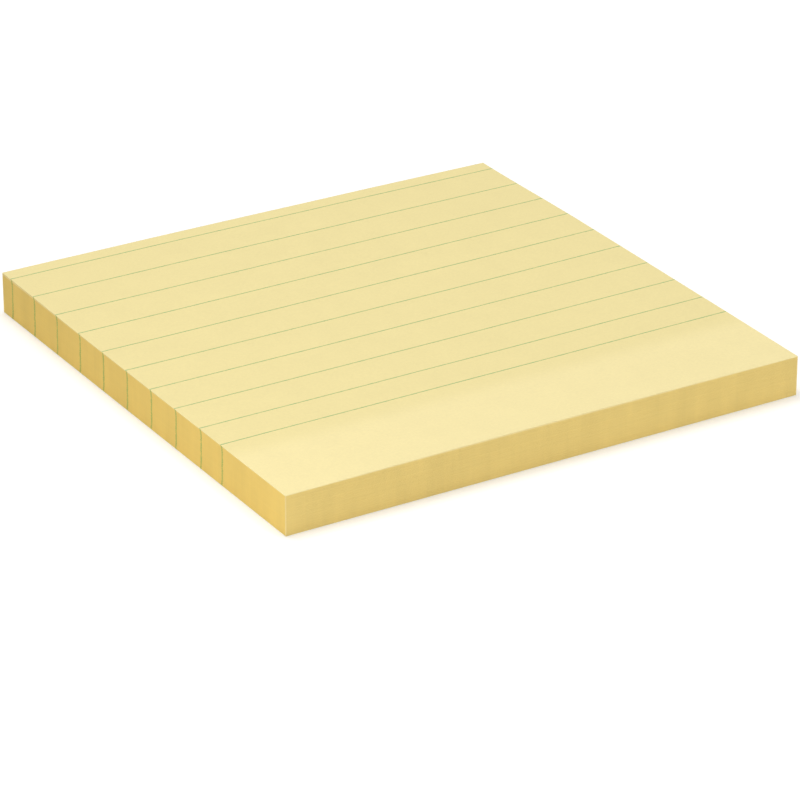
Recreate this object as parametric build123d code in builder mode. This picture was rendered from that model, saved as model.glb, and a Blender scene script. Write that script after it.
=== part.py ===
from build123d import *
import os

# A square pad of lined sticky notes, lying flat with its ruled face up.
# The origin is the middle of the underside. +X runs along the ruled lines,
# +Y runs to the header edge, where the notes are stuck together, and +Z is up.
# All sizes are in millimetres.

# One note
note_width = 101.6
note_height = 101.6
sheet_thickness = 0.098

# The stack
sheet_count = 75
backing_thickness = 0.1

# The ruling: even lines from the free edge, then one closing line under the header
first_line_margin = 3.3
line_pitch = 8.7
header_height = 21.5
line_width = 0.25

# Where the ruling sits on the sheets below the top one, as each sheet was cut a
# little out of step: (share of the way down the stack, shift to the header edge)
print_drift = [(0.0, 0.0), (0.2, 0.62), (0.45, 0.53), (0.8, 0.46), (1.0, 0.25)]

# Heights of the stack
sheets_height = sheet_count * sheet_thickness
sheets_top = backing_thickness + sheets_height

# Ink soaks one sheet deep, on the top face and in from the cut edges
print_depth = sheet_thickness
leg_height = sheets_height - print_depth
leg_top = sheets_top - print_depth

# Places of the ruled lines, from the free edge towards the header
free_edge = -note_height / 2
closing_line = note_height / 2 - header_height
ruled_height = closing_line - free_edge - first_line_margin
least_closing_gap = line_pitch / 2
even_gaps = int((ruled_height - least_closing_gap) / line_pitch)
even_lines = [free_edge + first_line_margin + gap * line_pitch for gap in range(even_gaps + 1)]
line_places = even_lines + [closing_line]

# Ruled lines: each is a stripe across the top sheet, turned down both cut sides,
# where the line's ends on all the sheets stack into one thin wandering mark
with BuildPart() as ruled_lines:
    for line_y in line_places:
        with BuildSketch(Plane.XY.offset(leg_top)):
            with Locations((0, line_y)):
                Rectangle(note_width, line_width)
        extrude(amount=print_depth)
        left_side = [
            (line_y - line_width / 2 + shift, leg_top - share * leg_height)
            for share, shift in print_drift
        ]
        right_side = [(y + line_width, z) for y, z in left_side]
        for inner_face in (-note_width / 2, note_width / 2 - print_depth):
            with BuildSketch(Plane.YZ.offset(inner_face)):
                with BuildLine():
                    Spline(*left_side)
                    Spline(*right_side)
                    Line(left_side[0], right_side[0])
                    Line(left_side[-1], right_side[-1])
                make_face()
            extrude(amount=print_depth)

# Note sheets: the stuck block of notes, with room for the ink flush in its faces
with BuildPart() as note_sheets:
    with BuildSketch(Plane.XY.offset(backing_thickness)):
        Rectangle(note_width, note_height)
    extrude(amount=sheets_height)
    add(ruled_lines.part, mode=Mode.SUBTRACT)

# Backing sheet: the plain sheet that covers the last note's adhesive
with BuildPart() as backing_sheet:
    with BuildSketch(Plane.XY):
        Rectangle(note_width, note_height)
    extrude(amount=backing_thickness)

os.makedirs("parts", exist_ok=True)
note_sheets.part.label = "note_sheets"
ruled_lines.part.label = "ruled_lines"
backing_sheet.part.label = "backing_sheet"
export_step(note_sheets.part, "parts/note_sheets.step")
export_step(ruled_lines.part, "parts/ruled_lines.step")
export_step(backing_sheet.part, "parts/backing_sheet.step")
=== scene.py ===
import logging
import math
from collections.abc import Callable
from dataclasses import dataclass
from enum import Enum
from functools import partial

import bmesh
import bpy
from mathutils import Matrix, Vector


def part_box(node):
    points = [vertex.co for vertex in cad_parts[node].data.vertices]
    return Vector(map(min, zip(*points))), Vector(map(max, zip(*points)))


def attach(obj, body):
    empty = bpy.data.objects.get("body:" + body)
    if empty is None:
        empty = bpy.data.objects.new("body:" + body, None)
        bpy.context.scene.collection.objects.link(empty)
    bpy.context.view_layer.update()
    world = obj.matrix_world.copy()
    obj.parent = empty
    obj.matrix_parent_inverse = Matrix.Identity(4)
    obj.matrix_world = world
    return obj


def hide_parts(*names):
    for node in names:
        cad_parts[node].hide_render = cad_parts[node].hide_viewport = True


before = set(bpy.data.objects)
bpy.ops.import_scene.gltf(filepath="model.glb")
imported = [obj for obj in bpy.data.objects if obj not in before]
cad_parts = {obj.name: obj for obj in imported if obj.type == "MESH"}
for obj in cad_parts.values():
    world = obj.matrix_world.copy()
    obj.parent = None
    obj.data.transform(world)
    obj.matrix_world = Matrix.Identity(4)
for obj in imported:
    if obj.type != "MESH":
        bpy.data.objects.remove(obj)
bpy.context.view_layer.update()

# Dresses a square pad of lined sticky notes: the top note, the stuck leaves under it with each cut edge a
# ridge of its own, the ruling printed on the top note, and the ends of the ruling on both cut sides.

MM = 0.001
SHEETS = "note_sheets"
RULES = "ruled_lines"
BACKING = "backing_sheet"
BODY = "root"

# The edges of a sheet, as shares of its width and of its height from the middle
CUT_SIDES = (-0.5, 0.5)
FREE_EDGE = -0.5

# This times the square of such a share is 0 in the middle and 1 at the edge
EDGE_SQUARE = 4.0

# A noise pattern stays mostly between these values, about its middle
NOISE_LOW, NOISE_MIDDLE, NOISE_HIGH = 0.25, 0.5, 0.75

# Edges that turn by more than this many degrees stay sharp
CREASE = 30.0

# The attribute that holds each leaf's own tone, from 0 to 1
LEAF_TONE = "leaf_tone"

# The kinds of node that are used most
MATH = "ShaderNodeMath"
VECTOR_MATH = "ShaderNodeVectorMath"
MAP_RANGE = "ShaderNodeMapRange"
COMBINE = "ShaderNodeCombineXYZ"
NOISE = "ShaderNodeTexNoise"
MIX = "ShaderNodeMix"
RANDOM = "FunctionNodeRandomValue"

# Sockets that go by number, because these nodes repeat a name for each kind of value
MIX_SHARE, MIX_FIRST, MIX_SECOND, MIX_COLOUR = 0, 6, 7, 2
RANDOM_LOW, RANDOM_HIGH, RANDOM_NUMBER = 2, 3, 1
COMPARE_FIRST, COMPARE_SECOND = 2, 3

Node = bpy.types.Node
# What can feed an input: an output, or a node, which stands for its first output
Source = Node | bpy.types.NodeSocket
Inputs = dict[int | str, object]
Adder = Callable[..., Node]

log = logging.getLogger("note_pad")


def linear(code: str) -> tuple[float, float, float, float]:
    """Turns an sRGB hex colour into linear light.

    Args:
        code: six hex digits, such as "f1e2a6".

    Returns:
        Red, green, blue and an alpha of 1, in linear light.
    """
    values = [int(code[start : start + 2], 16) / 255 for start in (0, 2, 4)]
    red, green, blue = [v / 12.92 if v <= 0.04045 else ((v + 0.055) / 1.055) ** 2.4 for v in values]
    return red, green, blue, 1.0


def add_node(tree: bpy.types.NodeTree, kind: str, inputs: Inputs | None = None, **settings: object) -> Node:
    """Adds a node with its settings, and sets or links its inputs.

    Args:
        tree: the tree that gets the node.
        kind: Blender's name for the type of node.
        inputs: an input's name or number to its value, or to the source that feeds it.
        **settings: the node's own properties.

    Returns:
        The new node.
    """
    node = tree.nodes.new(kind)
    for name, value in settings.items():
        setattr(node, name, value)
    for socket, value in (inputs or {}).items():
        if isinstance(value, Source):
            source = value.outputs[0] if isinstance(value, Node) else value
            tree.links.new(source, node.inputs[socket])
        else:
            node.inputs[socket].default_value = value
    return node


@dataclass(frozen=True)
class Stack:
    """The pad's real sizes in metres: the outline and heights from the frame, the leaves as made."""

    width: float
    height: float
    foot: float
    top: float
    leaves: int = 75

    @property
    def leaf(self) -> float:
        """The thickness of one leaf."""
        return (self.top - self.foot) / self.leaves

    @staticmethod
    def from_frame() -> "Stack":
        """Reads the outline and the heights from the block of sheets."""
        low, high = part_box(SHEETS)
        return Stack(width=high[0] - low[0], height=high[1] - low[1], foot=low[2], top=high[2])


@dataclass(frozen=True)
class Ruling:
    """The printed ruling in metres, and how its place wanders from leaf to leaf down the stack."""

    first_margin: float = 3.3 * MM
    pitch: float = 8.7 * MM
    header: float = 21.5 * MM
    line: float = 0.25 * MM
    film: float = 0.008 * MM
    # Where a line runs off the cut sides: its usual width, the least and the most of it that a leaf
    # shows, and how far a leaf's print lies out of step with the next
    end_width: float = 0.42 * MM
    end_shares: tuple[float, float] = (0.7, 1.3)
    misprint: float = 0.1 * MM
    # Shares of the way down the stack, and how far towards the header the print has drifted there
    drift_shares: tuple[float, ...] = (0.0, 0.2, 0.45, 0.8, 1.0)
    drift: tuple[float, ...] = (0.0, 0.62 * MM, 0.53 * MM, 0.46 * MM, 0.25 * MM)

    def first(self, stack: Stack) -> float:
        """Gives the place of the line nearest the free edge."""
        return self.first_margin - stack.height / 2

    def closing(self, stack: Stack) -> float:
        """Gives the place of the line that closes the ruling under the header."""
        return stack.height / 2 - self.header

    def even_lines(self, stack: Stack) -> int:
        """Counts the lines a full pitch apart; the closing gap is at least half a pitch."""
        ruled = self.closing(stack) - self.first(stack)
        return int((ruled - self.pitch / 2) / self.pitch) + 1


@dataclass(frozen=True)
class Lie:
    """How the sheets lie: bowed, with a low middle, twisted where they are free, rippled, and out of line.

    The leaves are loose at the free edge, so one corner there stands a little high and the other lies low.
    """

    # The bow lifts the middles of the header and the free edge and lowers the sheet's own middle. It
    # fades down the stack with this power of the height.
    edge_rise: float = 0.18 * MM
    hollow: float = 0.12 * MM
    bow_fade: float = 2.0
    # The two loose corners, and the place from the middle, as a share of the height, where the twist ends
    corner_rise: float = 0.3 * MM
    corner_sink: float = 0.5 * MM
    loose_from: float = -0.15
    # The ripple of the top leaves, which fades faster than the bow
    ripple: float = 0.15 * MM
    ripple_size: float = 38 * MM
    ripple_fade: float = 6.0
    # How far a leaf lies out of line, each way
    shift: float = 0.008 * MM
    seed: int = 7


class Input(Enum):
    """The kinds of input that the shape trees take: a length, share or power, a whole number, a finish."""

    MEASURE = "NodeSocketFloat"
    COUNT = "NodeSocketInt"
    FINISH = "NodeSocketMaterial"


class Kept(Enum):
    """The kinds of value that the points of a shape can keep."""

    NUMBER = "INT"
    PLACE = "VECTOR"


class ShapeTree:
    """A Geometry Nodes tree with named inputs, whose result becomes one plain mesh."""

    def __init__(self, name: str, stack: Stack, lie: Lie, finish: bpy.types.Material) -> None:
        """Makes a tree with the inputs that every piece of the pad shares.

        Args:
            name: the tree's name.
            stack: the pad's sizes.
            lie: how the sheets lie.
            finish: the material that the piece gets.
        """
        self.name = name
        self.values: dict[str, object] = {}
        self.tree = bpy.data.node_groups.new(name, "GeometryNodeTree")
        self.add: Adder = partial(add_node, self.tree)
        self.tree.interface.new_socket("Piece", in_out="OUTPUT", socket_type="NodeSocketGeometry")
        self.take(Input.FINISH, {"Finish": finish})
        self.take(Input.COUNT, {"Leaf Count": stack.leaves, "Seed": lie.seed})
        self.take(
            Input.MEASURE,
            {"Width": stack.width, "Height": stack.height, "Foot": stack.foot, "Leaf Thickness": stack.leaf,
             "Edge Rise": lie.edge_rise, "Hollow": lie.hollow, "Bow Fade": lie.bow_fade,
             "Corner Rise": lie.corner_rise, "Corner Sink": lie.corner_sink, "Loose From": lie.loose_from,
             "Ripple": lie.ripple, "Ripple Size": lie.ripple_size, "Ripple Fade": lie.ripple_fade,
             "Leaf Shift": lie.shift},
        )

    def take(self, kind: Input, values: dict[str, object]) -> None:
        """Adds named inputs of one kind, and what the piece sets them to.

        Args:
            kind: the type of their sockets.
            values: each input's name and its value.
        """
        for title, value in values.items():
            self.tree.interface.new_socket(title, in_out="INPUT", socket_type=kind.value)
            self.values[title] = value

    def given(self, title: str) -> Source:
        """Gives the output that carries a named input."""
        return self.add("NodeGroupInput").outputs[title]

    def keep(self, geometry: Source, kind: Kept, value: Node) -> tuple[Source, Source]:
        """Captures a value on each point, so that it stays with the point when its shape is used.

        Args:
            geometry: the shape whose points keep the value.
            kind: the kind of value.
            value: the node that gives the value.

        Returns:
            The shape, and the kept value.
        """
        node = self.add("GeometryNodeCaptureAttribute", {0: geometry})
        node.capture_items.new(kind.value, "Kept")
        self.tree.links.new(value.outputs[0], node.inputs[1])
        return node.outputs[0], node.outputs[1]

    def leaf_shift(self, leaf: Source) -> Source:
        """Gives how far a leaf lies out of line along both edges, alike in every tree.

        Args:
            leaf: the leaf's number.

        Returns:
            The shift.
        """
        unit = self.add(
            RANDOM,
            {"Min": (-1.0, -1.0, 0.0), "Max": (1.0, 1.0, 0.0), "ID": leaf, "Seed": self.given("Seed")},
            data_type="FLOAT_VECTOR",
        )
        return self.add(VECTOR_MATH, {0: unit, "Scale": self.given("Leaf Shift")}, operation="SCALE")

    def waves(self, place: Node, share: Source) -> Source:
        """Gives the height of the ripple, the same wave in every leaf, which fades down the stack.

        Args:
            place: the node that gives the place's three coordinates.
            share: the share of the way up the stack.

        Returns:
            The ripple's height there, up or down.
        """
        flat = self.add(COMBINE, {0: place.outputs[0], 1: place.outputs[1]})
        per_metre = self.add(MATH, {0: 1.0, 1: self.given("Ripple Size")}, operation="DIVIDE")
        noise = self.add(NOISE, {"Vector": flat, "Scale": per_metre, "Detail": 1.0})
        swing = self.add(MATH, {0: noise, 1: NOISE_MIDDLE}, operation="SUBTRACT")
        faded = self.add(MATH, {0: share, 1: self.given("Ripple Fade")}, operation="POWER")
        ripple = self.add(MATH, {0: faded, 1: self.given("Ripple")}, operation="MULTIPLY")
        return self.add(MATH, {0: swing, 1: ripple}, operation="MULTIPLY")

    def bowed(self, across: Source, along: Source, share: Source, waves: Source) -> Source:
        """Adds the bow to the ripple: high at the header and the free edge, low in the middle, flat aside.

        Args:
            across: the share of the width from the middle.
            along: the share of the height from the middle.
            share: the share of the way up the stack.
            waves: the ripple's height.

        Returns:
            The height of both together.
        """
        across_square = self.add(MATH, {0: across, 1: across}, operation="MULTIPLY")
        arch = self.add(MATH, {0: across_square, 1: -EDGE_SQUARE, 2: 1.0}, operation="MULTIPLY_ADD")
        along_square = self.add(MATH, {0: along, 1: along}, operation="MULTIPLY")
        hollow = self.given("Hollow")
        swell = self.add(MATH, {0: self.given("Edge Rise"), 1: hollow}, operation="ADD")
        full = self.add(MATH, {0: swell, 1: EDGE_SQUARE}, operation="MULTIPLY")
        risen = self.add(MATH, {0: along_square, 1: full}, operation="MULTIPLY")
        at_top = self.add(MATH, {0: risen, 1: hollow}, operation="SUBTRACT")
        faded = self.add(MATH, {0: share, 1: self.given("Bow Fade")}, operation="POWER")
        bow = self.add(MATH, {0: faded, 1: at_top}, operation="MULTIPLY")
        return self.add(MATH, {0: arch, 1: bow, 2: waves}, operation="MULTIPLY_ADD")

    def loosened(self, across: Source, along: Source, share: Source, level: Source) -> Source:
        """Adds the twist of the free end: one corner high, the other low, and none at the header.

        Args:
            across: the share of the width from the middle.
            along: the share of the height from the middle.
            share: the share of the way up the stack.
            level: the height without the twist.

        Returns:
            The height with the twist.
        """
        low_side, high_side = CUT_SIDES
        sink = self.add(MATH, {0: self.given("Corner Sink"), 1: -1.0}, operation="MULTIPLY")
        lean = self.add(
            MAP_RANGE,
            {"Value": across, "From Min": low_side, "From Max": high_side, "To Min": sink,
             "To Max": self.given("Corner Rise")},
        )
        loose = self.add(
            MAP_RANGE,
            {"Value": along, "From Min": self.given("Loose From"), "From Max": FREE_EDGE},
            interpolation_type="SMOOTHSTEP",
        )
        loose_share = self.add(MATH, {0: loose, 1: share}, operation="MULTIPLY")
        return self.add(MATH, {0: loose_share, 1: lean, 2: level}, operation="MULTIPLY_ADD")

    def lift(self, geometry: Source) -> Source:
        """Raises a flat shape to the lie that the sheets have at its height.

        Args:
            geometry: the flat shape, in place.

        Returns:
            The raised shape.
        """
        place = self.add("ShaderNodeSeparateXYZ", {0: self.add("GeometryNodeInputPosition")})
        above = self.add(MATH, {0: place.outputs[2], 1: self.given("Foot")}, operation="SUBTRACT")
        leaves = self.add(MATH, {0: above, 1: self.given("Leaf Thickness")}, operation="DIVIDE")
        share = self.add(MATH, {0: leaves, 1: self.given("Leaf Count")}, operation="DIVIDE", use_clamp=True)
        across = self.add(MATH, {0: place.outputs[0], 1: self.given("Width")}, operation="DIVIDE")
        along = self.add(MATH, {0: place.outputs[1], 1: self.given("Height")}, operation="DIVIDE")
        level = self.bowed(across, along, share, self.waves(place, share))
        offset = self.add(COMBINE, {2: self.loosened(across, along, share, level)})
        return self.add("GeometryNodeSetPosition", {"Geometry": geometry, "Offset": offset})

    def piece(self, name: str, geometry: Source) -> bpy.types.Object:
        """Ends the tree, runs it, and keeps the result as a plain mesh with no modifier.

        Args:
            name: the piece's name.
            geometry: the finished shape, flat.

        Returns:
            The piece, at the origin.
        """
        lifted = self.lift(self.add("GeometryNodeRealizeInstances", {0: geometry}))
        dressed = self.add("GeometryNodeSetMaterial", {"Geometry": lifted, "Material": self.given("Finish")})
        self.add("NodeGroupOutput", {0: dressed})
        maker = bpy.data.objects.new(name + "_maker", bpy.data.meshes.new(name + "_maker"))
        bpy.context.scene.collection.objects.link(maker)
        modifier = maker.modifiers.new(self.name, "NODES")
        modifier.node_group = self.tree
        for socket in self.tree.interface.items_tree:
            if socket.in_out == "INPUT":
                modifier[socket.identifier] = self.values[socket.name]
        mesh = bpy.data.meshes.new_from_object(maker.evaluated_get(bpy.context.evaluated_depsgraph_get()))
        mesh.name = name
        bpy.data.objects.remove(maker)
        point_outwards(mesh)
        mesh.shade_smooth()
        mesh.set_sharp_from_angle(angle=math.radians(CREASE))
        result = bpy.data.objects.new(name, mesh)
        bpy.context.scene.collection.objects.link(result)
        return result


def point_outwards(mesh: bpy.types.Mesh) -> None:
    """Turns every face of a closed mesh to point outwards.

    Args:
        mesh: the mesh, which is changed.
    """
    work = bmesh.new()
    work.from_mesh(mesh)
    bmesh.ops.recalc_face_normals(work, faces=work.faces)
    work.to_mesh(mesh)
    work.free()


def begin_material(name: str) -> tuple[bpy.types.Material, Adder, Source]:
    """Makes a material, still empty.

    Args:
        name: the material's name.

    Returns:
        The material, what adds a node to it, and the output with object coordinates.
    """
    material = bpy.data.materials.new(name)
    material.use_nodes = True
    material.node_tree.nodes.clear()
    add = partial(add_node, material.node_tree)
    return material, add, add("ShaderNodeTexCoord").outputs["Object"]


@dataclass(frozen=True)
class Surface:
    """What the pad's finishes share: a matte principled shader and a patchy tone."""

    name: str
    roughness: float
    ior: float = 1.45

    def end(self, add: Adder, looks: Inputs) -> None:
        """Ends the material with its shader.

        Args:
            add: what adds a node to the material.
            looks: the shader's colour, and its normal where it has a bump.
        """
        shader = add("ShaderNodeBsdfPrincipled", {"Roughness": self.roughness, "IOR": self.ior, **looks})
        add("ShaderNodeOutputMaterial", {"Surface": shader})

    def mottle(
        self, add: Adder, place: Source, patches: float, detail: float, swing: float
    ) -> tuple[Source, Source]:
        """Makes a patchy tone that swings about 1.

        Args:
            add: what adds a node to the material.
            place: the coordinates that the patches lie in.
            patches: how many patches there are to a unit of those coordinates.
            detail: how many finer layers of patches lie on the first.
            swing: how far the tone goes each way.

        Returns:
            The tone, and the bare pattern from 0 to 1.
        """
        pattern = add(NOISE, {"Vector": place, "Scale": patches, "Detail": detail})
        tone = add(
            MAP_RANGE,
            {"Value": pattern, "From Min": NOISE_LOW, "From Max": NOISE_HIGH,
             "To Min": 1 - swing, "To Max": 1 + swing},
        )
        return tone, pattern


@dataclass(frozen=True)
class DyedFace(Surface):
    """Uncoated, pulp-dyed note paper seen on its face: soft pale yellow with a faint cloudy formation.

    The band where the leaves are stuck together lies flatter on the sheet below; the lighter shading this
    gives it is painted into the colour as a paler band.
    """

    name: str = "uncoated dyed note paper, face"
    roughness: float = 0.88
    colour: str = "f1e1a2"
    # The header band's lighter shading, painted: a paler colour, blended in between these places
    band_colour: str = "f7e7ab"
    band_from: float = 30.7 * MM
    band_to: float = 36.7 * MM
    cloud_size: float = 5.0 * MM
    cloud_detail: float = 3.0
    cloud_swing: float = 0.014
    # Real fibres are some 0.03 mm across, too fine to show, so they are drawn about 15 times coarser
    fibre_size: float = 0.45 * MM
    fibre_detail: float = 2.0
    fibre_swing: float = 0.022
    fibre_depth: float = 0.004 * MM

    def make(self) -> bpy.types.Material:
        """Builds the material: painted lighter shading at the header, cloudy formation, and fibres in colour
        and bump.

        Returns:
            The material.
        """
        material, add, place = begin_material(self.name)
        along = add("ShaderNodeSeparateXYZ", {0: place}).outputs[1]
        # Painted lighter shading where the header band lies flatter
        band = add(
            MAP_RANGE,
            {"Value": along, "From Min": self.band_from, "From Max": self.band_to},
            interpolation_type="SMOOTHSTEP",
        )
        tint = add(
            MIX,
            {MIX_SHARE: band, MIX_FIRST: linear(self.colour), MIX_SECOND: linear(self.band_colour)},
            data_type="RGBA",
        ).outputs[MIX_COLOUR]
        cloudy, _ = self.mottle(add, place, 1 / self.cloud_size, self.cloud_detail, self.cloud_swing)
        fibrous, fibres = self.mottle(add, place, 1 / self.fibre_size, self.fibre_detail, self.fibre_swing)
        tone = add(MATH, {0: cloudy, 1: fibrous}, operation="MULTIPLY")
        shade = add("ShaderNodeHueSaturation", {"Value": tone, "Color": tint})
        bump = add("ShaderNodeBump", {"Height": fibres, "Distance": self.fibre_depth})
        self.end(add, {"Base Color": shade, "Normal": bump})
        return material


@dataclass(frozen=True)
class CutEdge(Surface):
    """The same paper seen on its guillotined edges, where it reads deeper and warmer: partly the dye's own
    tone, partly painted warm bounce light.

    Each leaf has its own tone and the knife leaves faint upright streaks. The top leaves' edges and the
    upright corners get a painted highlight, for light that comes through the paper there. The header side
    is paler and less warm than the other cut sides.
    """

    name: str = "uncoated dyed note paper, guillotined edge"
    roughness: float = 0.92
    # Deeper and warmer than the face: partly the dye's own tone on a cut edge, partly painted warm bounce
    # light
    colour: str = "eece72"
    # The header side, from about this far in, is paler and less warm than the other cut sides
    stuck_colour: str = "ecd180"
    stuck_reach: float = 0.05 * MM
    # Painted highlight: a paler colour at the top rim and the upright corners, for light let through the
    # paper
    pale_colour: str = "f8e3a4"
    pale_rim: float = 0.25 * MM
    pale_corner: float = 0.3 * MM
    pale_share: float = 0.65
    leaf_swing: float = 0.014
    # The knife's nicks, and the broader waves of its stroke
    streak_widths: tuple[float, ...] = (0.7 * MM, 4.5 * MM)
    streak_swings: tuple[float, ...] = (0.014, 0.045)
    streak_length: float = 14.0 * MM
    streak_detail: float = 2.0

    def make(self, stack: Stack) -> bpy.types.Material:
        """Builds the material from the leaf's own tone, knife streaks and the painted highlights at the rim
        and corners.

        Args:
            stack: the pad's sizes, for the places of the rim and the corners.

        Returns:
            The material.
        """
        material, add, place = begin_material(self.name)
        spot = add("ShaderNodeSeparateXYZ", {0: place})
        # The header side gets the paler, less warm colour
        stuck = add(
            MAP_RANGE,
            {"Value": spot.outputs[1], "From Min": stack.height / 2 - 2 * self.stuck_reach,
             "From Max": stack.height / 2 - self.stuck_reach},
        )
        body = add(
            MIX,
            {MIX_SHARE: stuck, MIX_FIRST: linear(self.colour), MIX_SECOND: linear(self.stuck_colour)},
            data_type="RGBA",
        ).outputs[MIX_COLOUR]
        # Painted highlights at the top rim and the upright corners
        pale = self.paleness(add, spot, stack)
        tint = add(
            MIX, {MIX_SHARE: pale, MIX_FIRST: body, MIX_SECOND: linear(self.pale_colour)}, data_type="RGBA"
        ).outputs[MIX_COLOUR]
        shade = add("ShaderNodeHueSaturation", {"Value": self.tone(add, place), "Color": tint})
        self.end(add, {"Base Color": shade})
        return material

    def paleness(self, add: Adder, spot: Node, stack: Stack) -> Source:
        """Gives the share of the painted highlight colour, which grows at the top rim and at the upright
        corners.

        Args:
            add: what adds a node to the material.
            spot: the node that gives the place's three coordinates.
            stack: the pad's sizes.

        Returns:
            The share, from 0 to the finish's own.
        """
        rim = add(
            MAP_RANGE,
            {"Value": spot.outputs[2], "From Min": stack.top - self.pale_rim, "From Max": stack.top},
            interpolation_type="SMOOTHSTEP",
        )
        sideways = add(MATH, {0: spot.outputs[0]}, operation="ABSOLUTE")
        endways = add(MATH, {0: spot.outputs[1]}, operation="ABSOLUTE")
        reach = add(MATH, {0: sideways, 1: endways}, operation="ADD")
        corner_at = (stack.width + stack.height) / 2
        corner = add(
            MAP_RANGE,
            {"Value": reach, "From Min": corner_at - self.pale_corner, "From Max": corner_at},
            interpolation_type="SMOOTHSTEP",
        )
        both = add(MATH, {0: rim, 1: corner}, operation="MAXIMUM")
        return add(MATH, {0: both, 1: self.pale_share}, operation="MULTIPLY")

    def tone(self, add: Adder, place: Source) -> Source:
        """Gives the lightness of the leaf and of the knife's streaks together.

        Args:
            add: what adds a node to the material.
            place: the object coordinates.

        Returns:
            The tone, about 1.
        """
        leaf = add("ShaderNodeAttribute", attribute_name=LEAF_TONE)
        tone = add(
            MAP_RANGE,
            {"Value": leaf.outputs["Fac"], "To Min": 1 - self.leaf_swing, "To Max": 1 + self.leaf_swing},
        )
        for width, swing in zip(self.streak_widths, self.streak_swings):
            stretch = (1 / width, 1 / width, 1 / self.streak_length)
            upright = add("ShaderNodeMapping", {"Vector": place, "Scale": stretch})
            streaky, _ = self.mottle(add, upright, 1.0, self.streak_detail, swing)
            tone = add(MATH, {0: tone, 1: streaky}, operation="MULTIPLY")
        return tone


@dataclass(frozen=True)
class RulingInk(Surface):
    """Thin offset ink in a soft green, which the paper's tooth breaks up a little along the line."""

    name: str = "offset ruling ink, on the face"
    roughness: float = 0.8
    colour: str = "a0bb7d"
    thin_colour: str = "c0c685"
    # The tooth itself is some 0.1 mm, too fine to show, so the breaks are drawn coarser
    break_size: float = 0.9 * MM
    break_detail: float = 2.0
    thin_from: float = 0.35
    thin_to: float = 0.7

    def make(self) -> bpy.types.Material:
        """Builds the material: ink that thins and thickens along the line.

        Returns:
            The material.
        """
        material, add, place = begin_material(self.name)
        breaks = add(NOISE, {"Vector": place, "Scale": 1 / self.break_size, "Detail": self.break_detail})
        thin = add(MAP_RANGE, {"Value": breaks, "From Min": self.thin_from, "From Max": self.thin_to})
        tint = add(
            MIX,
            {MIX_SHARE: thin, MIX_FIRST: linear(self.colour), MIX_SECOND: linear(self.thin_colour)},
            data_type="RGBA",
        )
        self.end(add, {"Base Color": tint.outputs[MIX_COLOUR]})
        return material


@dataclass(frozen=True)
class BackingPaper(Surface):
    """Calendered backing paper, smoother and paler than the notes, with a faint cloudy formation."""

    name: str = "calendered backing paper"
    roughness: float = 0.6
    colour: str = "f3e6b4"
    dense_colour: str = "eedfa8"
    cloud_size: float = 4.0 * MM
    cloud_detail: float = 4.0
    dense_from: float = 0.3
    dense_to: float = 0.7
    # The rolled grain is some 0.1 mm, too fine to show, so it is drawn coarser
    grain_size: float = 0.6 * MM
    grain_depth: float = 0.002 * MM

    def make(self) -> bpy.types.Material:
        """Builds the material: cloudy colour and a very low grain.

        Returns:
            The material.
        """
        material, add, place = begin_material(self.name)
        clouds = add(NOISE, {"Vector": place, "Scale": 1 / self.cloud_size, "Detail": self.cloud_detail})
        dense = add(MAP_RANGE, {"Value": clouds, "From Min": self.dense_from, "From Max": self.dense_to})
        tint = add(
            MIX,
            {MIX_SHARE: dense, MIX_FIRST: linear(self.colour), MIX_SECOND: linear(self.dense_colour)},
            data_type="RGBA",
        )
        grain = add(NOISE, {"Vector": place, "Scale": 1 / self.grain_size})
        bump = add("ShaderNodeBump", {"Height": grain, "Distance": self.grain_depth})
        self.end(add, {"Base Color": tint.outputs[MIX_COLOUR], "Normal": bump})
        return material


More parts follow.
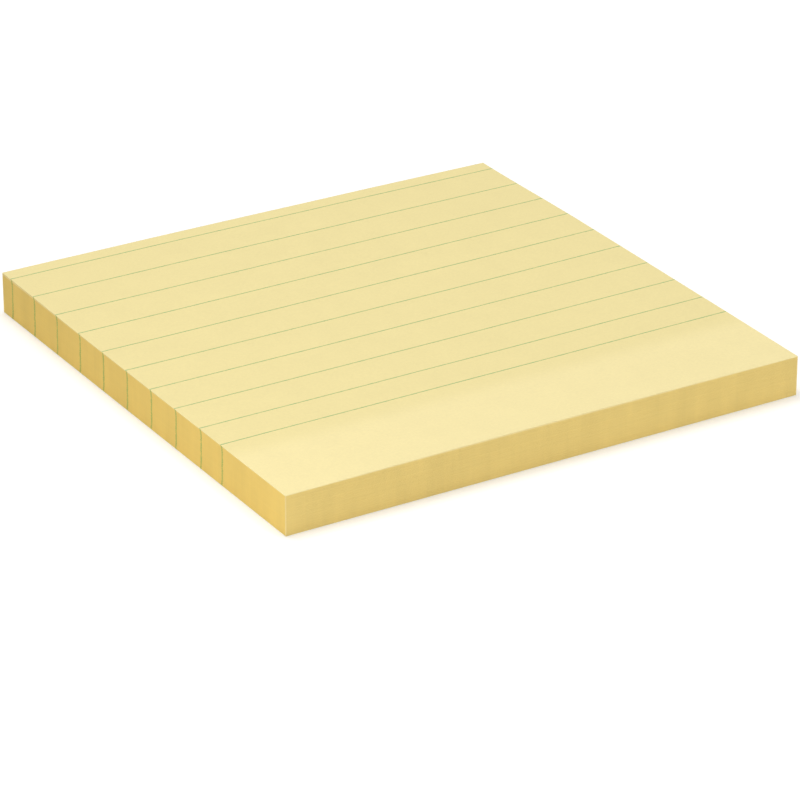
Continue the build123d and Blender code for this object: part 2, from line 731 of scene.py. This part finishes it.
@dataclass
class StuckLeaves:
    """The block of leaves under the top note: one closed wall in which each leaf's edge is a ridge.

    A leaf has three rings: the groove at its foot, and the foot and the head of its ridge. The block ends
    in the topmost leaf's groove and a lid, drawn in and down to stay clear of the top note's hollow.
    """

    stack: Stack
    lie: Lie
    finish: CutEdge = CutEdge()
    cuts: int = 15
    groove_depth: float = 0.012 * MM
    groove_height: float = 0.012 * MM
    leaf_rings: int = 3
    end_rings: int = 2
    lid_inset: float = 1.5 * MM
    lid_drop: float = 0.8 * MM

    def build(self) -> bpy.types.Object:
        """Makes the wall from one outline repeated up the stack, and gives each leaf its tone.

        Returns:
            The piece.
        """
        shape = ShapeTree("stuck leaves", self.stack, self.lie, self.finish.make(self.stack))
        rings = self.leaf_rings * (self.stack.leaves - 1) + self.end_rings
        shape.take(Input.COUNT, {"Cuts": self.cuts, "Rings": rings})
        shape.take(
            Input.MEASURE,
            {"Groove Depth": self.groove_depth, "Groove Height": self.groove_height,
             "Lid Inset": self.lid_inset, "Lid Drop": self.lid_drop},
        )
        wall, edge, ring = self.wall(shape)
        leaf = shape.add("FunctionNodeIntegerMath", {0: ring, 1: self.leaf_rings}, operation="DIVIDE_FLOOR")
        spot = self.spot(shape, edge, ring, leaf)
        placed = shape.add("GeometryNodeSetPosition", {"Geometry": wall, "Position": spot})
        tone = shape.add(RANDOM, {"ID": leaf, "Seed": shape.given("Seed")}, data_type="FLOAT")
        toned = shape.add(
            "GeometryNodeStoreNamedAttribute",
            {"Geometry": placed, "Name": LEAF_TONE, "Value": tone.outputs[RANDOM_NUMBER]},
            data_type="FLOAT",
            domain="POINT",
        )
        piece = shape.piece("stuck_leaves", toned)
        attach(piece, BODY)
        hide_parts(SHEETS)
        return piece

    def wall(self, shape: ShapeTree) -> tuple[Source, Source, Source]:
        """Makes a closed column of rings, whose true places are set later.

        Args:
            shape: the tree to work in.

        Returns:
            The column, each point's place on the pad's outline, and the number of its ring from the foot.
        """
        outline = shape.add(
            "GeometryNodeCurvePrimitiveQuadrilateral", {0: shape.given("Width"), 1: shape.given("Height")}
        )
        cut = shape.add("GeometryNodeSubdivideCurve", {0: outline, 1: shape.given("Cuts")})
        profile, edge = shape.keep(cut, Kept.PLACE, shape.add("GeometryNodeInputPosition"))
        column = shape.add("GeometryNodeMeshLine", {"Count": shape.given("Rings"), "Offset": (0.0, 0.0, MM)})
        rail = shape.add("GeometryNodeMeshToCurve", {0: column})
        rail_kept, ring = shape.keep(rail, Kept.NUMBER, shape.add("GeometryNodeInputIndex"))
        parts = {"Curve": rail_kept, "Profile Curve": profile, "Fill Caps": True}
        return shape.add("GeometryNodeCurveToMesh", parts), edge, ring

    def spot(self, shape: ShapeTree, edge: Source, ring: Source, leaf: Source) -> Source:
        """Gives each point of the wall its true place, before the sheets' lie.

        Args:
            shape: the tree to work in.
            edge: the point's place on the pad's outline.
            ring: the number of its ring.
            leaf: the number of its leaf.

        Returns:
            The place.
        """
        thickness, groove = shape.given("Leaf Thickness"), shape.given("Groove Height")
        part = shape.add("FunctionNodeIntegerMath", {0: ring, 1: self.leaf_rings}, operation="MODULO")
        upper = shape.add(MATH, {0: thickness, 1: groove}, operation="SUBTRACT")
        # Each switch goes by the ring's part in its leaf: inputs 1 to 3 are the groove, the ridge's foot
        # and the ridge's head
        rise = shape.add("GeometryNodeIndexSwitch", {0: part}, data_type="FLOAT")
        rise.index_switch_items.new()
        shape.tree.links.new(groove, rise.inputs[2])
        shape.tree.links.new(upper.outputs[0], rise.inputs[3])
        inset = shape.add("GeometryNodeIndexSwitch", {0: part}, data_type="FLOAT")
        inset.index_switch_items.new()
        shape.tree.links.new(shape.given("Groove Depth"), inset.inputs[1])
        last = shape.add("FunctionNodeIntegerMath", {0: shape.given("Rings"), 1: 1}, operation="SUBTRACT")
        pair = {COMPARE_FIRST: ring, COMPARE_SECOND: last}
        lid = shape.add("FunctionNodeCompare", pair, data_type="INT", operation="EQUAL")
        drawn_in = shape.add(MATH, {0: lid, 1: shape.given("Lid Inset"), 2: inset}, operation="MULTIPLY_ADD")
        narrower = shape.add(MATH, {0: drawn_in, 1: shape.given("Width")}, operation="DIVIDE")
        scale = shape.add(MATH, {0: narrower, 1: -2.0, 2: 1.0}, operation="MULTIPLY_ADD")
        ring_edge = shape.add(VECTOR_MATH, {0: edge, "Scale": scale}, operation="SCALE")
        below = shape.add(MATH, {0: leaf, 1: thickness, 2: shape.given("Foot")}, operation="MULTIPLY_ADD")
        height = shape.add(MATH, {0: below, 1: rise}, operation="ADD")
        lowered = shape.add(MATH, {0: lid, 1: shape.given("Lid Drop")}, operation="MULTIPLY")
        level = shape.add(MATH, {0: height, 1: lowered}, operation="SUBTRACT")
        up = shape.add(COMBINE, {2: level})
        shifted = shape.add(VECTOR_MATH, {0: ring_edge, 1: shape.leaf_shift(leaf)}, operation="ADD")
        return shape.add(VECTOR_MATH, {0: shifted, 1: up}, operation="ADD")


@dataclass
class TopNote:
    """The top note: one thin closed leaf, fine enough to follow the bow and the ripple."""

    stack: Stack
    lie: Lie
    finish: DyedFace = DyedFace()
    rows: int = 81

    def build(self) -> bpy.types.Object:
        """Makes the leaf and lays it on the block.

        Returns:
            The piece.
        """
        shape = ShapeTree("top note", self.stack, self.lie, self.finish.make())
        shape.take(Input.COUNT, {"Rows": self.rows})
        thickness, rows = shape.given("Leaf Thickness"), shape.given("Rows")
        size = shape.add(COMBINE, {0: shape.given("Width"), 1: shape.given("Height"), 2: thickness})
        leaf = shape.add(
            "GeometryNodeMeshCube", {"Size": size, "Vertices X": rows, "Vertices Y": rows, "Vertices Z": 2}
        )
        half_top = shape.add(MATH, {0: shape.given("Leaf Count"), 1: 0.5}, operation="SUBTRACT")
        middle = shape.add(
            MATH, {0: half_top, 1: thickness, 2: shape.given("Foot")}, operation="MULTIPLY_ADD"
        )
        up = shape.add(COMBINE, {2: middle})
        laid = shape.add("GeometryNodeTransform", {"Geometry": leaf, "Translation": up})
        piece = shape.piece("top_note", laid)
        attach(piece, BODY)
        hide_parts(SHEETS)
        return piece


@dataclass
class PrintedRuling:
    """The ruling: a film of ink on the top note, and the ends of each leaf's lines on both cut sides.

    At a cut edge the ink is seen through the fibres that took it up, so it is darker and more olive there.
    """

    stack: Stack
    lie: Lie
    ruling: Ruling
    face_ink: RulingInk = RulingInk()
    end_ink: RulingInk = RulingInk(
        name="offset ruling ink, soaked into the cut edge", colour="aeb65e", thin_colour="c4bd61"
    )
    columns: int = 81

    def start(self, name: str, ink: bpy.types.Material) -> ShapeTree:
        """Starts a tree that has the ruling's own inputs. The ink is one film proud and one film deep.

        Args:
            name: the tree's name.
            ink: the material of the lines.

        Returns:
            The tree.
        """
        shape = ShapeTree(name, self.stack, self.lie, ink)
        shape.take(Input.COUNT, {"Even Lines": self.ruling.even_lines(self.stack)})
        shape.take(
            Input.MEASURE,
            {"First Line": self.ruling.first(self.stack), "Line Pitch": self.ruling.pitch,
             "Closing Line": self.ruling.closing(self.stack), "Ink Depth": 2 * self.ruling.film},
        )
        return shape

    def places(self, shape: ShapeTree, level: Source | float) -> Source:
        """Sets out one point for each line: the even ones, then the closing one.

        Args:
            shape: the tree to work in.
            level: the height that the points lie at.

        Returns:
            The points.
        """
        first = shape.add(COMBINE, {1: shape.given("First Line"), 2: level})
        step = shape.add(COMBINE, {1: shape.given("Line Pitch")})
        row = {"Count": shape.given("Even Lines"), "Start Location": first, "Offset": step}
        even = shape.add("GeometryNodeMeshLine", row)
        last = shape.add(COMBINE, {1: shape.given("Closing Line"), 2: level})
        closing = shape.add("GeometryNodeMeshLine", {"Count": 1, "Start Location": last})
        joined = shape.add("GeometryNodeJoinGeometry", {0: even})
        shape.tree.links.new(closing.outputs[0], joined.inputs[0])
        return joined

    def build_face(self) -> bpy.types.Object:
        """Makes the lines on the top note, each a film that follows the sheet.

        Returns:
            The piece.
        """
        shape = self.start("ruling on the top note", self.face_ink.make())
        shape.take(Input.MEASURE, {"Line Width": self.ruling.line})
        shape.take(Input.COUNT, {"Columns": self.columns})
        top = shape.add(
            MATH,
            {0: shape.given("Leaf Count"), 1: shape.given("Leaf Thickness"), 2: shape.given("Foot")},
            operation="MULTIPLY_ADD",
        )
        size = shape.add(
            COMBINE, {0: shape.given("Width"), 1: shape.given("Line Width"), 2: shape.given("Ink Depth")}
        )
        film = shape.add(
            "GeometryNodeMeshCube",
            {"Size": size, "Vertices X": shape.given("Columns"), "Vertices Y": 2, "Vertices Z": 2},
        )
        points = self.places(shape, top)
        lines = shape.add("GeometryNodeInstanceOnPoints", {"Points": points, "Instance": film})
        piece = shape.piece("ruling_on_top_note", lines)
        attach(piece, BODY)
        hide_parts(RULES)
        return piece

    def build_ends(self) -> bpy.types.Object:
        """Makes the line ends of every leaf on both cut sides, a block of ink for each.

        Returns:
            The piece.
        """
        shape = self.start("ruling ends on the cut sides", self.end_ink.make())
        shape.take(Input.MEASURE, {"End Width": self.ruling.end_width, "Misprint": self.ruling.misprint})
        least, most = self.ruling.end_shares
        limits = {RANDOM_LOW: least, RANDOM_HIGH: most, "Seed": shape.given("Seed")}
        share = shape.add(RANDOM, limits, data_type="FLOAT").outputs[RANDOM_NUMBER]
        wide = shape.add(MATH, {0: share, 1: shape.given("End Width")}, operation="MULTIPLY")
        size = shape.add(COMBINE, {0: shape.given("Ink Depth"), 1: wide, 2: shape.given("Leaf Thickness")})
        unit_block = shape.add("GeometryNodeMeshCube", {"Size": (1.0, 1.0, 1.0)})
        ends = shape.add(
            "GeometryNodeInstanceOnPoints",
            {"Points": self.end_points(shape), "Instance": unit_block, "Scale": size},
        )
        piece = shape.piece("ruling_ends", ends)
        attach(piece, BODY)
        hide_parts(RULES)
        return piece

    def end_points(self, shape: ShapeTree) -> Source:
        """Sets out a point for each line's end on each leaf, on both cut sides, wandering as the print does.

        Args:
            shape: the tree to work in.

        Returns:
            The points.
        """
        thickness = shape.given("Leaf Thickness")
        lowest = shape.add(MATH, {0: thickness, 1: 0.5, 2: shape.given("Foot")}, operation="MULTIPLY_ADD")
        start = shape.add(COMBINE, {2: lowest})
        step = shape.add(COMBINE, {2: thickness})
        row = {"Count": shape.given("Leaf Count"), "Start Location": start, "Offset": step}
        column = shape.add("GeometryNodeMeshLine", row)
        leaves, leaf = shape.keep(column, Kept.NUMBER, shape.add("GeometryNodeInputIndex"))
        lines = self.places(shape, 0.0)
        sides = shape.add("GeometryNodeJoinGeometry")
        for side in CUT_SIDES:
            out = shape.add(MATH, {0: shape.given("Width"), 1: side}, operation="MULTIPLY")
            to_side = shape.add(COMBINE, {0: out})
            moved = shape.add("GeometryNodeTransform", {"Geometry": lines, "Translation": to_side})
            shape.tree.links.new(moved.outputs[0], sides.inputs[0])
        spread = shape.add("GeometryNodeInstanceOnPoints", {"Points": sides, "Instance": leaves})
        points = shape.add("GeometryNodeRealizeInstances", {0: spread})
        return shape.add("GeometryNodeSetPosition", {"Geometry": points, "Offset": self.wander(shape, leaf)})

    def wander(self, shape: ShapeTree, leaf: Source) -> Source:
        """Gives how far a leaf's print ends lie from their place: its drift, its misprint and its shift.

        Args:
            shape: the tree to work in.
            leaf: the leaf's number.

        Returns:
            The offset.
        """
        from_foot = shape.add(MATH, {0: leaf, 1: shape.given("Leaf Count")}, operation="DIVIDE")
        from_top = shape.add(MATH, {0: 1.0, 1: from_foot}, operation="SUBTRACT")
        most = shape.given("Misprint")
        least = shape.add(MATH, {0: most, 1: -1.0}, operation="MULTIPLY")
        limits = {RANDOM_LOW: least, RANDOM_HIGH: most, "ID": leaf, "Seed": shape.given("Seed")}
        misprint = shape.add(RANDOM, limits, data_type="FLOAT").outputs[RANDOM_NUMBER]
        total = shape.add(MATH, {0: self.drift(shape, from_top), 1: misprint}, operation="ADD")
        along = shape.add(COMBINE, {1: total})
        return shape.add(VECTOR_MATH, {0: shape.leaf_shift(leaf), 1: along}, operation="ADD")

    def drift(self, shape: ShapeTree, from_top: Source) -> Source:
        """Gives how far the print has drifted towards the header, by the share of the way down.

        Args:
            shape: the tree to work in.
            from_top: the share of the way down, from 0 at the top to 1.

        Returns:
            The drift as a length.
        """
        low, high = min(self.ruling.drift), max(self.ruling.drift)
        curve = shape.add("ShaderNodeFloatCurve", {"Value": from_top})
        points = curve.mapping.curves[0].points
        while len(points) < len(self.ruling.drift):
            points.new(0.5, 0.5)
        for point, share, length in zip(points, self.ruling.drift_shares, self.ruling.drift):
            point.location = (share, (length - low) / (high - low))
        curve.mapping.update()
        return shape.add(MATH, {0: curve, 1: high - low, 2: low}, operation="MULTIPLY_ADD")


@dataclass
class BackingSheet:
    """The sheet under the lowest note, which keeps its own solid and gets its paper."""

    finish: BackingPaper = BackingPaper()

    def dress(self) -> bpy.types.Object:
        """Puts the backing paper on the solid.

        Returns:
            The sheet's object.
        """
        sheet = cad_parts[BACKING]
        sheet.data.materials.clear()
        sheet.data.materials.append(self.finish.make())
        return sheet


def shows_background(add: Adder) -> Source:
    """Tells the rays that show the background, straight, in a reflection or through glass, from the rest.

    Args:
        add: what adds a node to the tree.

    Returns:
        An output that is 1 for such a ray and 0 for light.
    """
    path = add("ShaderNodeLightPath")
    shown = path.outputs["Is Camera Ray"]
    for other in ("Is Glossy Ray", "Is Transmission Ray"):
        shown = add(MATH, {0: shown, 1: path.outputs[other]}, operation="MAXIMUM")
    return shown


@dataclass(frozen=True)
class PaleFloor:
    """Matte pale paper, which keeps the pad's soft shadow and turns to plain white further out."""

    name: str = "matte paper floor"
    colour: str = "f3f3f3"
    near_glow: float = 0.22
    glow_from: float = 110 * MM
    glow_to: float = 260 * MM

    def make(self) -> bpy.types.Material:
        """Builds the material: a matte colour, and a glow that only the rays of the background see.

        Returns:
            The material.
        """
        material, add, place = begin_material(self.name)
        matte = add("ShaderNodeBsdfDiffuse", {"Color": linear(self.colour)})
        away = add(VECTOR_MATH, {0: place}, operation="LENGTH").outputs["Value"]
        full = add(
            MAP_RANGE,
            {"Value": away, "From Min": self.glow_from, "From Max": self.glow_to,
             "To Min": self.near_glow, "To Max": 1.0},
            interpolation_type="SMOOTHSTEP",
        )
        glow = add(MATH, {0: shows_background(add), 1: full}, operation="MULTIPLY")
        shine = add("ShaderNodeEmission", {"Color": linear("ffffff"), "Strength": glow})
        both = add("ShaderNodeAddShader", {0: matte, 1: shine})
        add("ShaderNodeOutputMaterial", {"Surface": both})
        return material


@dataclass(frozen=True)
class Lamp:
    """A square soft light, in metres and watts."""

    name: str
    place: tuple[float, float, float]
    size: float
    power: float

    def build(self) -> None:
        """Hangs the light and turns it to the pad."""
        data = bpy.data.lights.new(self.name, "AREA")
        data.shape = "SQUARE"
        data.size = self.size
        data.energy = self.power
        lamp = bpy.data.objects.new(self.name, data)
        lamp.location = self.place
        lamp.rotation_euler = (-Vector(self.place)).to_track_quat("-Z", "Y").to_euler()
        bpy.context.scene.collection.objects.link(lamp)


@dataclass
class Studio:
    """A pale floor, a white surround, three soft lights and the camera."""

    floor: PaleFloor = PaleFloor()
    floor_size: float = 8.0
    floor_gap: float = 0.02 * MM
    surround_light: float = 0.45
    lamps: tuple[Lamp, ...] = (
        Lamp("overhead softbox", place=(0.02, -0.062, 0.49), size=0.25, power=1.213),
        Lamp("side softbox", place=(0.146, 0.066, 0.048), size=0.08, power=0.038),
        Lamp("front softbox", place=(-0.13, 0.32, 0.091), size=0.14, power=0.23),
    )
    # The camera's angles are in degrees, from square on to the free edge and from level
    azimuth: float = 148.789
    elevation: float = 25.873
    distance: float = 750.42 * MM
    aim: tuple[float, float, float] = (12.69 * MM, 23.59 * MM, 3.73 * MM)
    lens: float = 198.28
    sensor: float = 36.0
    clip_shares: tuple[float, float] = (0.1, 20.0)

    def build(self) -> None:
        """Sets up the view, the surround, the floor, the lights and the camera."""
        bpy.context.scene.view_settings.view_transform = "Standard"
        self.build_surround()
        self.build_floor()
        for lamp in self.lamps:
            lamp.build()
        self.build_camera()

    def build_surround(self) -> None:
        """Makes the surround light the pad softly and look white to the camera and in reflections."""
        world = bpy.data.worlds.new("white surround")
        bpy.context.scene.world = world
        world.use_nodes = True
        world.node_tree.nodes.clear()
        add = partial(add_node, world.node_tree)
        levels = {"Value": shows_background(add), "To Min": self.surround_light, "To Max": 1.0}
        strength = add(MAP_RANGE, levels)
        sky = add("ShaderNodeBackground", {"Color": linear("ffffff"), "Strength": strength})
        add("ShaderNodeOutputWorld", {"Surface": sky})

    def build_floor(self) -> None:
        """Lays the floor just under the pad."""
        half, level = self.floor_size / 2, -self.floor_gap
        corners = [(-half, -half, level), (half, -half, level), (half, half, level), (-half, half, level)]
        mesh = bpy.data.meshes.new("studio_floor")
        mesh.from_pydata(corners, [], [(0, 1, 2, 3)])
        mesh.materials.append(self.floor.make())
        floor = bpy.data.objects.new("studio_floor", mesh)
        bpy.context.scene.collection.objects.link(floor)

    def build_camera(self) -> None:
        """Stands the camera where the photograph was taken from, level, with its long lens."""
        turn, tilt = math.radians(self.azimuth), math.radians(self.elevation)
        back = Vector((math.sin(turn) * math.cos(tilt), -math.cos(turn) * math.cos(tilt), math.sin(tilt)))
        near, far = self.clip_shares
        data = bpy.data.cameras.new("camera")
        data.lens = self.lens
        data.sensor_width = self.sensor
        data.clip_start = self.distance * near
        data.clip_end = self.distance * far
        camera = bpy.data.objects.new("camera", data)
        camera.location = Vector(self.aim) + back * self.distance
        camera.rotation_euler = (-back).to_track_quat("-Z", "Y").to_euler()
        bpy.context.scene.collection.objects.link(camera)
        bpy.context.scene.camera = camera


def report(piece: bpy.types.Object) -> None:
    """Logs a piece's name and how many faces it has."""
    log.info("%s: %d faces", piece.name, len(piece.data.polygons))


def main() -> None:
    """Builds the studio and the pad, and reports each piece."""
    logging.basicConfig(level=logging.INFO, format="%(name)s %(message)s")
    stack = Stack.from_frame()
    lie = Lie()
    ruling = Ruling()
    Studio().build()
    report(BackingSheet().dress())
    report(StuckLeaves(stack, lie).build())
    report(TopNote(stack, lie).build())
    printed = PrintedRuling(stack, lie, ruling)
    report(printed.build_face())
    report(printed.build_ends())


if __name__ == "__main__":
    main()
